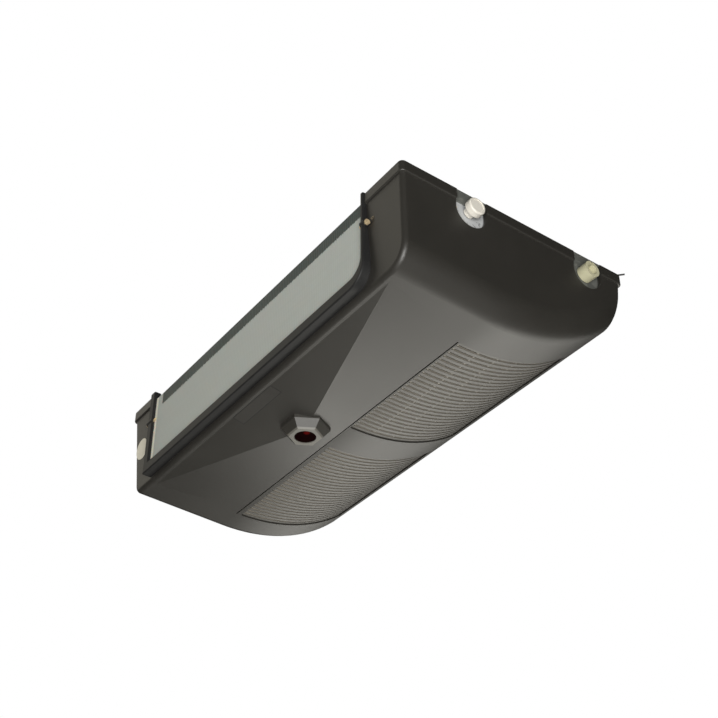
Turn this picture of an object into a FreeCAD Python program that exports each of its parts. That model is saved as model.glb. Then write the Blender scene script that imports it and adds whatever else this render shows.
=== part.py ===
import FreeCAD, Part
import math
import os
from FreeCAD import Vector

# Garage door opener head, hung by its steel chassis from the ceiling, in millimetres.
# X runs along the head from the knob end (-X) to the supply end (+X), +Y is the lamp side,
# +Z is up. The origin is the centre of the hanging bolt pattern on the chassis plate's top face.

# --- Cover -----------------------------------------------------------------------------------
LENGTH = 400.0              # over the cover's rim, along X
WIDTH = 220.0               # over the cover's rim, along Y
RIM_TOP = 6.0               # rim above the chassis plate
RIM_BAND = 10.0             # height of the proud band along the rim
RIM_PROUD = 1.5             # the band stands out this far from the wall
RIM_EDGE_R = 1.0
DRAFT = 4.0                 # degrees, each wall leans in towards the floor
WALL = 2.5                  # moulded wall
LAMP_FLOOR = -80.4          # floor height where it meets the lamp-side wall
RIDGE_FLOOR = -84.0         # floor height at the ridge, where the vented curve starts
RIDGE_INSET = 93.5          # ridge from the lamp-side rim
FAR_EDGE = -38.0            # height where the vented curve meets the far wall
FLOOR_DATUM = 8.0           # the lamp-side floor height is taken this far inside the rim
KNOB_END_R = 20.0           # floor to knob-end wall
SUPPLY_END_R = 8.0          # floor to supply-end wall
LAMP_EDGE_R = 4.0           # lamp-side corners and lower edge
FAR_EDGE_R = 4.0            # far-side corners and lower edge
APEX_DEPTH = 6.0            # the faceted floor comes to a point this far below the ridge
APEX_INSET = 62.0           # that point from the lamp-side rim
APEX_OFFSET = 9.0           # that point from mid-length
FACET_INSET = 13.0          # facets start this far from the lamp-side rim
FACET_END_GAP = 34.0        # and this far from each end
RIDGE_END_GAP = 46.0        # the facets' ridge corners from each end

# --- Knob end --------------------------------------------------------------------------------
NOTCH_R = 14.2              # round bottom of each knob notch
FORCE_INSET = 65.5          # force knob axis from the lamp-side rim
LIMIT_INSET = 182.5         # limit knob axis from the lamp-side rim
KNOB_AXIS_Z = -8.5
FORCE_KNOB_R = 7.5
FORCE_BODY = 5.5            # length of the wide end of the force knob
FORCE_BOSS_R = 4.5          # narrower boss behind it
FORCE_ROUND = 1.2           # rounding round the knob's face
FORCE_DISH_R = 6.0
FORCE_DISH_DEPTH = 0.6
LIMIT_KNOB_R = 7.2
LIMIT_HOLLOW_R = 4.6
LIMIT_HOLLOW_DEPTH = 4.0
KNOB_STANDOFF = 1.0         # knob clear of the plate behind it
FORCE_REACH = 8.0           # spindle length inside the force knob
FORCE_PROUD = 6.0           # knob faces outside the cover's end
LIMIT_PROUD = 4.0
POT_SHAFT_R = 3.0
DIAL_LAMP = 16.0            # dial plate beyond the knob axis, towards the lamps
DIAL_FAR = 22.0             # and away from them
DIAL_DEPTH = 24.0           # lower edge below the chassis plate
LIP_OUT = 5.4               # chassis lip over each knob, out from the flange
LIP_HALF = 13.9             # half the width of that lip
DIAL_THICK = 0.5
DIAL_TOP_GAP = 0.2          # plate below the chassis bend

# --- Lamp side -------------------------------------------------------------------------------
LENS_START = 48.5           # lens from the knob end
LENS_END_GAP = 42.0         # lens from the supply end
LENS_TOP = -0.5
LENS_BOTTOM = -66.5
LENS_CORNER_R = 13.0        # lower corner at the knob end
LENS_WALL = 2.0
LENS_DEPTH = 9.0            # the lens's skirt, into the lamp bay
BEZEL_WIDTH = 3.8           # black frame, seen square on
BEZEL_SUPPLY_WIDTH = 8.0
BEZEL_LOWER_WIDTH = 9.5
BEZEL_PROUD = 1.5           # frame outside the rim
LENS_SUNK = 1.0             # lens face inside the rim
FIT_GAP = 0.3               # moulded parts that drop into openings
EAR_R = 3.2
EAR_PROUD = 1.0             # ears stand out of the frame's ends
EAR_INSET = 1.0             # ear axis inside the rim
EAR_Z = -23.5
EAR_RECESS = 7.0            # length of the scoop in the wall that a screwdriver uses
EAR_SCREW_R = 1.5
EAR_HEAD_R = 2.2

# --- Vent grilles ----------------------------------------------------------------------------
GRILLE_LENGTH = 138.0
GRILLE_START = 55.0         # first grille from the knob end
GRILLE_BAND = 32.0          # solid band between the two
GRILLE_RIDGE_GAPS = (0.6, 3.5)   # near and far grille from the ridge
GRILLE_FAR_GAP = 17.0       # grille from the far rim
LOUVRE_PITCH = 5.0
LOUVRE_WIDTH = 3.0
GRILLE_SUNK = 1.2           # louvres below the floor's outer surface
GRILLE_THICK = 2.2
GRILLE_LIP = 3.0            # end rails behind the wall
CROSS_RIB_WIDTH = 1.4
CROSS_RIB_PITCH = 19.3
CROSS_RIB_START = 1.2       # first rib from the grille's ridge edge
CROSS_RIB_SUNK = 0.6        # ribs below the louvres
BLIND_THICK = 1.0
RIDGE_GROOVE_WIDTH = 1.2
RIDGE_GROOVE_DEPTH = 1.0
RIDGE_GROOVE_INSET = 0.4    # groove from the ridge

# --- Sensor window ---------------------------------------------------------------------------
HEX_R = 20.0                # hexagon, across corners / 2, at the floor
HEX_FACE_R = 13.3
HEX_HEIGHT = 7.0
HEX_SEAT = 6.0              # the hexagon's root reaches this far up into the floor
WINDOW_R = 8.8
WINDOW_SUNK = 0.7
WINDOW_THICK = 2.4
SENSOR_R = 6.0
SENSOR_LENGTH = 14.0

# --- Chassis ---------------------------------------------------------------------------------
SHEET = 1.2
CHASSIS_GAP = 1.0           # chassis flange from the cover's inside
END_FLANGE = 30.0
SIDE_FLANGE = 9.0
HANGER_X = 240.0
HANGER_Y = 150.0
HANGER_HOLE_R = 4.25
RAIL_X = 80.0
RAIL_Y = 60.0
RAIL_HOLE_R = 3.3
LUG_R = 6.0                 # gear case lugs under the rail bolts
LUG_HEIGHT = 14.0
COVER_SCREW_R = 2.0
COVER_BOSS_R = 5.0
COVER_SCREW_INSET_X = 22.0
COVER_SCREW_INSET_Y = 14.0
SCREW_LENGTH = 14.0
HEAD_HEIGHT = 2.2
RAIL_SEAT_MARGIN = 12.0     # seat plate outside the rail bolts
RAIL_SEAT_THICK = 2.5
RAIL_SEAT_R = 6.0
RAIL_SEAT_BORE_GAP = 2.0    # seat plate from the sprocket's hub

# --- Drive -----------------------------------------------------------------------------------
WHEEL_X = 36.0              # output shaft, from mid-length
WHEEL_Y = 3.0
MODULE = 2.0
WHEEL_TEETH = 30
WORM_PITCH_R = 9.0
TOOTH_BACKLASH = 0.25
WHEEL_FACE = 12.0
DRIVE_Z = -36.0             # motor axis and the wheel's mid-plane
SHAFT_R = 6.0
SHAFT_TOP = 26.0
SHAFT_BOTTOM = -56.0
RUNNING_GAP = 0.05          # radial, shafts in their bushes
BUSH_WALL = 2.0
BUSH_LENGTH = 8.0
CASE_WALL = 3.0
CASE_GAP = 1.5              # wheel and worm from the gear case
LID_THICK = 3.5
WORM_LENGTH = 44.0
WORM_SHAFT_R = 4.0
MOTOR_R = 30.0
MOTOR_CAN = 1.6
MOTOR_LENGTH = 84.0
BELL_THICK = 5.0
NOSE_R = 13.0               # neck between the motor and the gear case
BEARING_R = 10.0
BEARING_LENGTH = 6.0
ROTOR_R = 18.0
AIR_GAP = 0.6
STACK_LENGTH = 46.0
ENCODER_R = 14.0
SPROCKET_TEETH = 8
CHAIN_PITCH = 12.7
ROLLER_R = 3.96
SPROCKET_THICK = 4.4
SPROCKET_Z = 10.0
SPROCKET_HUB_R = 10.5

# --- Electrics -------------------------------------------------------------------------------
BOARD_Z = -24.0
BOARD_THICK = 1.6
BOARD_LENGTH = 64.0
BOARD_GAP = 3.0             # board edge to the end flange
POT_SIZE = 12.0
POT_HEIGHT = 9.0
CAPACITOR_R = 17.0
CAPACITOR_LENGTH = 70.0
REFLECTOR_INSET = 58.0      # lamp bay, from the lamp-side rim
BULB_R = 17.0
BULB_LENGTH = 62.0
LAMP_Z = -38.0
GLAND_R = 7.0
GLAND_BORE_R = 4.0
GLAND_LENGTH = 18.0
GLAND_Y = -52.0
GLAND_Z = -21.0
BUTTON_R = 4.0
BUTTON_TRAVEL = 1.5
BUTTON_GAP = 0.3
BUTTON_Y = 14.0
WIRE_R = 0.7

# --- Derived places --------------------------------------------------------------------------
KNOB_END = -LENGTH / 2.0
SUPPLY_END = LENGTH / 2.0
LAMP_SIDE = WIDTH / 2.0
FAR_SIDE = -WIDTH / 2.0
RIM_BOTTOM = RIM_TOP - RIM_BAND
RIDGE_Y = LAMP_SIDE - RIDGE_INSET
LEAN = math.tan(math.radians(DRAFT))
APEX = Vector(APEX_OFFSET, LAMP_SIDE - APEX_INSET, RIDGE_FLOOR - APEX_DEPTH)
FORCE_Y = LAMP_SIDE - FORCE_INSET
LIMIT_Y = LAMP_SIDE - LIMIT_INSET
LENS_X0 = KNOB_END + LENS_START
LENS_X1 = SUPPLY_END - LENS_END_GAP
LENS_FACE = LAMP_SIDE - LENS_SUNK
FRAME_X0 = LENS_X0 - BEZEL_WIDTH - FIT_GAP
FRAME_X1 = LENS_X1 + BEZEL_SUPPLY_WIDTH + FIT_GAP
FRAME_FACE = LAMP_SIDE + BEZEL_PROUD
FRAME_BACK = LAMP_SIDE - LENS_DEPTH
CHASSIS_INSET = RIM_PROUD + WALL + CHASSIS_GAP
WHEEL_PITCH_R = MODULE * WHEEL_TEETH / 2.0
WORM_Y = WHEEL_Y - WHEEL_PITCH_R - WORM_PITCH_R
WORM_LEAD = math.pi * MODULE
CASE_R = WHEEL_PITCH_R + MODULE + CASE_GAP + CASE_WALL
TUNNEL_R = WORM_PITCH_R + MODULE + CASE_GAP
TUNNEL_X0 = WHEEL_X - WORM_LENGTH / 2.0 - BEARING_LENGTH
TUNNEL_X1 = WHEEL_X + WORM_LENGTH / 2.0 + BEARING_LENGTH
CASE_BOTTOM = DRIVE_Z - TUNNEL_R - CASE_WALL
MOTOR_X1 = WHEEL_X - RAIL_X / 2.0 - LUG_R - 1.0
MOTOR_X0 = MOTOR_X1 - MOTOR_LENGTH
REFLECTOR_Y = LAMP_SIDE - REFLECTOR_INSET
UP = Vector(0, 0, 1)
ALONG = Vector(1, 0, 0)
ACROSS = Vector(0, 1, 0)


def box(x0, x1, y0, y1, z0, z1):
    """Block between two corners."""
    return Part.makeBox(x1 - x0, y1 - y0, z1 - z0, Vector(x0, y0, z0))


def rod(radius, start, direction, length):
    """Round bar from a point along a direction."""
    return Part.makeCylinder(radius, length, start, direction)


def tube(outer, inner, start, direction, length):
    """Round bar with a hole along its axis."""
    return rod(outer, start, direction, length).cut(rod(inner, start, direction, length))


def prism(points, direction):
    """Flat closed outline pushed along a direction."""
    return Part.Face(Part.makePolygon(points + [points[0]])).extrude(direction)


def regular(sides, radius, centre, height):
    """Corners of a regular polygon at one height."""
    return [
        Vector(
            centre.x + radius * math.cos(2.0 * math.pi * i / sides),
            centre.y + radius * math.sin(2.0 * math.pi * i / sides),
            height,
        )
        for i in range(sides)
    ]


def group(shapes):
    """Separate solids kept in one node."""
    return Part.makeCompound(shapes)


def wall_offset(z, inset):
    """How far a drafted wall stands inside the rim at a height."""
    return RIM_PROUD + inset + (RIM_BOTTOM - z) * LEAN


def drafted_block(inset, top, bottom):
    """Block whose four walls lean in towards its bottom."""
    upper = wall_offset(top, inset)
    lower = wall_offset(bottom, inset)
    half_x = LENGTH / 2.0
    half_y = WIDTH / 2.0
    along = prism([
        Vector(-half_x + upper, -WIDTH, top), Vector(half_x - upper, -WIDTH, top),
        Vector(half_x - lower, -WIDTH, bottom), Vector(-half_x + lower, -WIDTH, bottom),
    ], ACROSS * 2.0 * WIDTH)
    across = prism([
        Vector(-LENGTH, -half_y + upper, top), Vector(-LENGTH, half_y - upper, top),
        Vector(-LENGTH, half_y - lower, bottom), Vector(-LENGTH, -half_y + lower, bottom),
    ], ALONG * 2.0 * LENGTH)
    return along.common(across)


def floor_section(inset):
    """Floor outline across the head: a gentle slope, then an arc tangent to it at the ridge."""
    ridge = Vector(0, RIDGE_Y, RIDGE_FLOOR)
    datum = Vector(0, LAMP_SIDE - FLOOR_DATUM, LAMP_FLOOR)
    slope = (ridge - datum).normalize()
    normal = Vector(0, slope.z, -slope.y)
    far_y = FAR_SIDE + wall_offset(FAR_EDGE, 0.0)
    reach = Vector(0, far_y, FAR_EDGE) - ridge
    radius = reach.dot(reach) / (2.0 * reach.dot(normal))
    centre = ridge + normal * radius
    inner_r = radius - inset
    start = centre - normal * inner_r
    end_angle = math.atan2(FAR_EDGE - centre.z, far_y - centre.y) - math.radians(DRAFT + 6.0)
    mid_angle = (math.atan2(-normal.z, -normal.y) + end_angle) / 2.0
    mid = centre + Vector(0, math.cos(mid_angle), math.sin(mid_angle)) * inner_r
    end = centre + Vector(0, math.cos(end_angle), math.sin(end_angle)) * inner_r
    return {"start": start, "mid": mid, "end": end, "slope": slope, "centre": centre, "radius": radius}


ARC = floor_section(0.0)


def above_floor(inset, top):
    """Everything above the floor surface, raised by an inset, right across the head."""
    section = floor_section(inset)
    lamp_edge = section["start"] - section["slope"] * WIDTH
    push = Vector(-LENGTH, 0, 0)
    upper_lamp = Vector(0, lamp_edge.y, top)
    upper_far = Vector(0, section["end"].y, top)
    wire = Part.Wire([
        Part.makeLine(upper_lamp + push, lamp_edge + push),
        Part.makeLine(lamp_edge + push, section["start"] + push),
        Part.Arc(section["start"] + push, section["mid"] + push, section["end"] + push).toShape(),
        Part.makeLine(section["end"] + push, upper_far + push),
        Part.makeLine(upper_far + push, upper_lamp + push),
    ])
    return Part.Face(wire).extrude(Vector(2.0 * LENGTH, 0, 0))


def edge_sits_on_wall(edge, side, inset):
    """True when the whole edge lies in the lamp-side (+1) or far-side (-1) wall."""
    for step in (0.1, 0.5, 0.9):
        at = edge.FirstParameter + (edge.LastParameter - edge.FirstParameter) * step
        point = edge.valueAt(at)
        wall_y = side * (WIDTH / 2.0 - wall_offset(point.z, inset))
        if abs(point.y - wall_y) > 0.01:
            return False
    return True


def floor_end_edges(shape, end):
    """Lower edges where the floor meets one end wall."""
    found = []
    for edge in shape.Edges:
        low = edge.BoundBox
        if low.XLength < 15.0 and low.YLength > 30.0 and low.ZMin < FAR_EDGE - 3.0:
            if edge.CenterOfMass.x * end > LENGTH / 2.0 - 20.0:
                found.append(edge)
    return found


def cover_space(inset, top):
    """Space inside the drafted walls and floor, with its rounded edges."""
    walls = drafted_block(inset, top, RIDGE_FLOOR - 20.0)
    space = walls.common(above_floor(inset, top + 5.0))
    space = space.makeFillet(KNOB_END_R - inset, floor_end_edges(space, -1))
    space = space.makeFillet(SUPPLY_END_R - inset, floor_end_edges(space, 1))
    for side, radius in ((1, LAMP_EDGE_R - inset), (-1, FAR_EDGE_R - inset)):
        edges = [e for e in space.Edges if edge_sits_on_wall(e, side, inset)]
        edges = [e for e in edges if e.CenterOfMass.z < top - 0.5]
        space = space.makeFillet(radius, edges)
    return space


def facets(rise):
    """Faceted point hanging below the flat half of the floor."""
    slope_z = ARC["slope"].z / -ARC["slope"].y
    facet_y = LAMP_SIDE - FACET_INSET
    facet_z = RIDGE_FLOOR - slope_z * (facet_y - RIDGE_Y)
    lift = Vector(0, 0, rise)
    knob_corner = Vector(KNOB_END + FACET_END_GAP, facet_y, facet_z) + lift
    supply_corner = Vector(SUPPLY_END - FACET_END_GAP, facet_y, facet_z) + lift
    ridge_knob = Vector(KNOB_END + RIDGE_END_GAP, RIDGE_Y, RIDGE_FLOOR) + lift
    ridge_supply = Vector(SUPPLY_END - RIDGE_END_GAP, RIDGE_Y, RIDGE_FLOOR) + lift
    ridge_mid = Vector(APEX.x, RIDGE_Y, RIDGE_FLOOR) + lift
    apex = APEX + lift
    roof = max(LAMP_FLOOR, RIDGE_FLOOR) + WALL + rise + 4.0

    def line(a, b):
        return Part.makeLine(a, b)

    def upper(p):
        return Vector(p.x, p.y, roof)

    def flat(points):
        return Part.Face(Part.makePolygon(points + [points[0]]))

    faces = [
        flat([knob_corner, apex, supply_corner]),
        Part.makeRuledSurface(line(knob_corner, apex), line(ridge_knob, ridge_mid)),
        Part.makeRuledSurface(line(supply_corner, apex), line(ridge_supply, ridge_mid)),
        flat([knob_corner, supply_corner, upper(supply_corner), upper(knob_corner)]),
        flat([knob_corner, ridge_knob, upper(ridge_knob), upper(knob_corner)]),
        flat([supply_corner, ridge_supply, upper(ridge_supply), upper(supply_corner)]),
        flat([ridge_knob, ridge_mid, ridge_supply, upper(ridge_supply), upper(ridge_knob)]),
        flat([upper(knob_corner), upper(supply_corner), upper(ridge_supply), upper(ridge_knob)]),
    ]
    shell = Part.makeShell(faces)
    shell.sewShape()
    solid = Part.makeSolid(shell)
    if solid.Volume < 0:
        solid.reverse()
    return solid


def outside():
    """Everything within the cover's outer surface, up to the middle of the rim band."""
    return cover_space(0.0, RIM_TOP - RIM_BAND / 2.0).fuse(facets(0.0)).removeSplitter()


def inside():
    """Everything within the cover's inner surface, and above it."""
    return cover_space(WALL, RIM_TOP + 20.0).fuse(facets(WALL / -ARC["slope"].y))


def rim_ring():
    """Proud band round the top of the cover."""
    band = box(KNOB_END, SUPPLY_END, FAR_SIDE, LAMP_SIDE, RIM_BOTTOM, RIM_TOP)
    upright = [e for e in band.Edges if e.BoundBox.ZLength > RIM_BAND - 0.1]
    band = band.makeFillet(FAR_EDGE_R, upright)
    ring = [e for e in band.Edges if e.BoundBox.ZLength < 0.1]
    return band.makeFillet(RIM_EDGE_R, ring)


def notch(y):
    """U-shaped notch round a knob."""
    deep = 3.0 * WALL
    start = Vector(KNOB_END - 1.0, y, KNOB_AXIS_Z)
    slot = box(start.x, start.x + deep, y - NOTCH_R, y + NOTCH_R, KNOB_AXIS_Z, RIM_TOP + 1.0)
    return slot.fuse(rod(NOTCH_R, start, ALONG, deep))


def lens_outline(grow, y, depth):
    """Lens opening, grown all round, open at the top when grown."""
    x0 = LENS_X0 - grow[0]
    x1 = LENS_X1 + grow[1]
    z0 = LENS_BOTTOM - grow[2]
    block = box(x0, x1, y, y + depth, z0, LENS_TOP + grow[3])
    corner = [
        e for e in block.Edges
        if e.BoundBox.YLength > depth - 0.1 and e.CenterOfMass.x < x0 + 0.1 and e.CenterOfMass.z < z0 + 0.1
    ]
    return block.makeFillet(LENS_CORNER_R + grow[0], corner)


def frame_grow(extra):
    return (BEZEL_WIDTH + extra, BEZEL_SUPPLY_WIDTH + extra, BEZEL_LOWER_WIDTH + extra, RIM_TOP + 20.0)


def grille_span(index):
    start = KNOB_END + GRILLE_START + index * (GRILLE_LENGTH + GRILLE_BAND)
    return start, start + GRILLE_LENGTH


def vent_ys(index, margin):
    """Far and ridge edges of a vent opening, less a margin."""
    y0 = FAR_SIDE + GRILLE_FAR_GAP + margin
    y1 = RIDGE_Y - GRILLE_RIDGE_GAPS[index] - margin
    return y0, y1


def arc_band(x0, x1, ys, outer, inner):
    """Slice of the vented curve between two depths below its outer surface."""
    centre = ARC["centre"] + ALONG * x0
    big = rod(ARC["radius"] - outer, centre, ALONG, x1 - x0)
    small = rod(ARC["radius"] - inner, centre, ALONG, x1 - x0)
    keep = box(x0, x1, ys[0], ys[1], RIDGE_FLOOR - 20.0, FAR_EDGE + 30.0)
    return big.cut(small).common(keep)


def cover_screw_places():
    xs = (KNOB_END + COVER_SCREW_INSET_X, SUPPLY_END - COVER_SCREW_INSET_X)
    ys = (FAR_SIDE + COVER_SCREW_INSET_Y, LAMP_SIDE - COVER_SCREW_INSET_Y)
    return [(x, y) for x in xs for y in ys]


def cover_bosses():
    """Posts that take the cover screws, from the floor to the chassis plate."""
    posts = []
    for x, y in cover_screw_places():
        post = rod(COVER_BOSS_R, Vector(x, y, RIDGE_FLOOR), UP, -SHEET - RIDGE_FLOOR)
        posts.append(post)
    return posts


def ridge_groove():
    """Shadow line beside the ridge, as long as the two grilles."""
    x0, x1 = grille_span(0)[0], grille_span(1)[1]
    y0 = RIDGE_Y + RIDGE_GROOVE_INSET
    return box(x0, x1, y0, y0 + RIDGE_GROOVE_WIDTH, RIDGE_FLOOR - 5.0, RIDGE_FLOOR + RIDGE_GROOVE_DEPTH)


def cover():
    body = outside().fuse(rim_ring())
    body = body.cut(inside())
    solid_space = outside()
    for post in cover_bosses():
        body = body.fuse(post.common(solid_space))
    for x, y in cover_screw_places():
        body = body.cut(rod(COVER_SCREW_R, Vector(x, y, -SHEET - SCREW_LENGTH), UP, SCREW_LENGTH + 1.0))
    for y in (FORCE_Y, LIMIT_Y):
        body = body.cut(notch(y))
    body = body.cut(lens_outline(frame_grow(FIT_GAP), FRAME_BACK - 1.0, LENS_DEPTH + 10.0))
    for place in ear_places():
        way = ALONG * place["way"]
        body = body.cut(rod(EAR_R + FIT_GAP, place["outer"] - way * EAR_RECESS, way, EAR_RECESS + 2.0))
    for index in (0, 1):
        x0, x1 = grille_span(index)
        body = body.cut(arc_band(x0, x1, vent_ys(index, 0.0), -3.0, WALL + 3.0))
    body = body.cut(ridge_groove())
    body = body.cut(rod(WINDOW_R, APEX - UP * 10.0, UP, 30.0))
    body = body.cut(rod(GLAND_R, Vector(SUPPLY_END - 20.0, GLAND_Y, GLAND_Z), ALONG, 25.0))
    hole_r = BUTTON_R + BUTTON_GAP
    body = body.cut(rod(hole_r, Vector(SUPPLY_END - 20.0, BUTTON_Y, GLAND_Z), ALONG, 25.0))
    return body.removeSplitter()


def lens_frame():
    """Black U-shaped frame that stands round the lens and carries the screw ears."""
    depth = FRAME_FACE - FRAME_BACK
    ring = lens_outline(frame_grow(0.0), FRAME_BACK, depth)
    ring = ring.cut(lens_outline((FIT_GAP, FIT_GAP, FIT_GAP, RIM_TOP + 30.0), FRAME_BACK - 1.0, depth + 2.0))
    ring = ring.common(box(KNOB_END, SUPPLY_END, 0.0, WIDTH, LENS_BOTTOM - 40.0, RIM_TOP + 0.8))
    ring = ring.cut(plate_relief())
    front = [
        e for e in ring.Edges
        if e.BoundBox.YMin > FRAME_FACE - 0.01 and e.CenterOfMass.z < RIM_TOP
    ]
    ring = ring.makeFillet(1.2, front)
    for place in ear_places():
        ear = rod(EAR_R, place["outer"], ALONG * place["way"], place["depth"])
        ring = ring.fuse(ear)
    for place in ear_places():
        ring = ring.cut(rod(EAR_SCREW_R, place["outer"] - ALONG * place["way"], ALONG * place["way"], 20.0))
    return ring.removeSplitter()


def plate_relief():
    """Room for the chassis plate's edge behind the frame and the lens."""
    _, half_y = sheet_bounds()
    return box(KNOB_END, SUPPLY_END, 0.0, half_y + FIT_GAP, -SHEET - FIT_GAP, RIM_TOP + 10.0)


def ear_places():
    """Outer ends of the two ears, with the way that each screw points and the depth of frame."""
    y = LAMP_SIDE - EAR_INSET
    first = Vector(FRAME_X0 - EAR_PROUD, y, EAR_Z)
    second = Vector(FRAME_X1 + EAR_PROUD, y, EAR_Z)
    return [
        {"outer": first, "way": 1, "depth": BEZEL_WIDTH + EAR_PROUD},
        {"outer": second, "way": -1, "depth": BEZEL_SUPPLY_WIDTH + EAR_PROUD},
    ]


def light_lens():
    """Open-backed diffuser with a skirt along its ends and lower edge."""
    shell = lens_outline((0.0, 0.0, 0.0, 0.0), FRAME_BACK, LENS_FACE - FRAME_BACK)
    w = LENS_WALL
    hollow = lens_outline((-w, -w, -w, 1.0), FRAME_BACK - 1.0, LENS_FACE - w - FRAME_BACK + 1.0)
    lens = shell.cut(hollow).cut(plate_relief())
    for place in ear_places():
        lens = lens.cut(rod(EAR_SCREW_R, place["outer"], ALONG * place["way"], lens_screw_reach(place) + FIT_GAP))
    return lens


def lens_screw_reach(place):
    """Shank of a lens screw: through its ear and the frame, and into the lens's end wall."""
    return place["depth"] + FIT_GAP + LENS_WALL


def lens_screws():
    screws = []
    for place in ear_places():
        way = ALONG * place["way"]
        head = rod(EAR_HEAD_R, place["outer"] - way * 1.6, way, 1.6)
        screws.append(head.fuse(rod(EAR_SCREW_R, place["outer"], way, lens_screw_reach(place))))
    return group(screws)


def cross_rib_places(ys):
    """Ridge edges of the ribs behind the louvres, from the ridge to the far edge."""
    first = ys[1] - CROSS_RIB_START
    count = int((first - ys[0]) / CROSS_RIB_PITCH) + 1
    places = [first - i * CROSS_RIB_PITCH for i in range(count)]
    return places + [ys[0] + CROSS_RIB_START + CROSS_RIB_WIDTH]


def grille(index, blind):
    """Curved louvre panel that fills one vent opening, on cross ribs and two end rails."""
    x0, x1 = grille_span(index)
    x0 += FIT_GAP
    x1 -= FIT_GAP
    ys = vent_ys(index, FIT_GAP)
    back = GRILLE_SUNK + GRILLE_THICK
    rib_front = GRILLE_SUNK + CROSS_RIB_SUNK
    count = int((x1 - x0 - LOUVRE_WIDTH) / LOUVRE_PITCH)
    pitch = (x1 - x0 - LOUVRE_WIDTH) / count
    parts = []
    for i in range(count + 1):
        louvre_x = x0 + i * pitch
        parts.append(arc_band(louvre_x, louvre_x + LOUVRE_WIDTH, ys, GRILLE_SUNK, back - BLIND_THICK / 2.0))
    parts.append(arc_band(x0 - GRILLE_LIP, x0 + LOUVRE_WIDTH / 2.0, ys, WALL, back))
    parts.append(arc_band(x1 - LOUVRE_WIDTH / 2.0, x1 + GRILLE_LIP, ys, WALL, back))
    if blind:
        parts.append(arc_band(x0, x1, ys, back - BLIND_THICK, back))
    else:
        for y in cross_rib_places(ys):
            parts.append(arc_band(x0, x1, (y - CROSS_RIB_WIDTH, y), rib_front, back))
    return parts[0].fuse(parts[1:])


def hex_bezel():
    """Six-sided boss at the floor's point, with a round window seat."""
    face_z = APEX.z - HEX_HEIGHT
    root = Part.makePolygon(regular(6, HEX_R, APEX, APEX.z) + [regular(6, HEX_R, APEX, APEX.z)[0]])
    face = Part.makePolygon(regular(6, HEX_FACE_R, APEX, face_z) + [regular(6, HEX_FACE_R, APEX, face_z)[0]])
    boss = Part.makeLoft([face, root], True, True)
    boss = boss.fuse(prism(regular(6, HEX_R, APEX, APEX.z), UP * (HEX_SEAT + 3.0)))
    boss = boss.cut(rod(WINDOW_R, Vector(APEX.x, APEX.y, face_z - 1.0), UP, 40.0))
    return boss.cut(outside()).removeSplitter()


def window_place():
    return Vector(APEX.x, APEX.y, APEX.z - HEX_HEIGHT + WINDOW_SUNK)


def indicator_window():
    """Dark filter behind which the sensor looks down."""
    return rod(WINDOW_R - 0.05, window_place(), UP, WINDOW_THICK)


def sensor():
    """Light and motion sensor can on a short stem."""
    start = window_place() + UP * (WINDOW_THICK + 1.0)
    body = rod(SENSOR_R, start, UP, SENSOR_LENGTH)
    return body.fuse(rod(WINDOW_R - 0.05, start + UP * (SENSOR_LENGTH - 3.0), UP, 3.0))


def sheet_bounds():
    half_x = LENGTH / 2.0 - CHASSIS_INSET
    half_y = WIDTH / 2.0 - CHASSIS_INSET
    return half_x, half_y


def hanger_places():
    return [(sx * HANGER_X / 2.0, sy * HANGER_Y / 2.0) for sx in (-1, 1) for sy in (-1, 1)]


def rail_places():
    return [(WHEEL_X + sx * RAIL_X / 2.0, WHEEL_Y + sy * RAIL_Y / 2.0) for sx in (-1, 1) for sy in (-1, 1)]


def chassis():
    """Galvanised pan: a flat plate with a flange bent down on each side."""
    half_x, half_y = sheet_bounds()
    pan = box(-half_x, half_x, -half_y, half_y, -SHEET, 0.0)
    pan = pan.makeFillet(FAR_EDGE_R, [e for e in pan.Edges if e.BoundBox.ZLength > SHEET / 2.0])
    lean = (END_FLANGE - RIM_BAND) * LEAN
    for way in (-1, 1):
        x = way * (half_x - lean)
        depth = END_FLANGE if way < 0 else SIDE_FLANGE
        y_in = COVER_SCREW_INSET_Y + COVER_BOSS_R
        flange = box(min(x, x - way * SHEET), max(x, x - way * SHEET), FAR_SIDE + y_in, LAMP_SIDE - y_in, -depth, 0.0)
        pan = pan.fuse(flange)
        y = way * half_y
        x0 = LENS_X0 + 4.0
        x1 = LENS_X1 - 16.0
        side = box(x0, x1, min(y, y - way * SHEET), max(y, y - way * SHEET), -SIDE_FLANGE, 0.0)
        pan = pan.fuse(side)
    holes = [(x, y, HANGER_HOLE_R) for x, y in hanger_places()]
    holes += [(x, y, RAIL_HOLE_R) for x, y in rail_places()]
    holes += [(x, y, COVER_SCREW_R + 0.3) for x, y in cover_screw_places()]
    holes.append((WHEEL_X, WHEEL_Y, SHAFT_R + RUNNING_GAP + BUSH_WALL))
    for x, y, r in holes:
        pan = pan.cut(rod(r, Vector(x, y, -SHEET - 1.0), UP, SHEET + 2.0))
    for y in (FORCE_Y, LIMIT_Y):
        pan = pan.fuse(knob_lip(y))
        pan = pan.cut(rod(POT_SHAFT_R + 1.0, Vector(KNOB_END, y, KNOB_AXIS_Z), ALONG, 20.0))
    return pan.removeSplitter()


def knob_lip(y):
    """Sheet tab turned up from the flange and out over a knob."""
    face = flange_face()
    riser = box(face, face + SHEET, y - LIP_HALF, y + LIP_HALF, -SHEET, RIM_TOP)
    return riser.fuse(box(face - LIP_OUT, face, y - LIP_HALF, y + LIP_HALF, RIM_TOP - SHEET, RIM_TOP))


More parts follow.
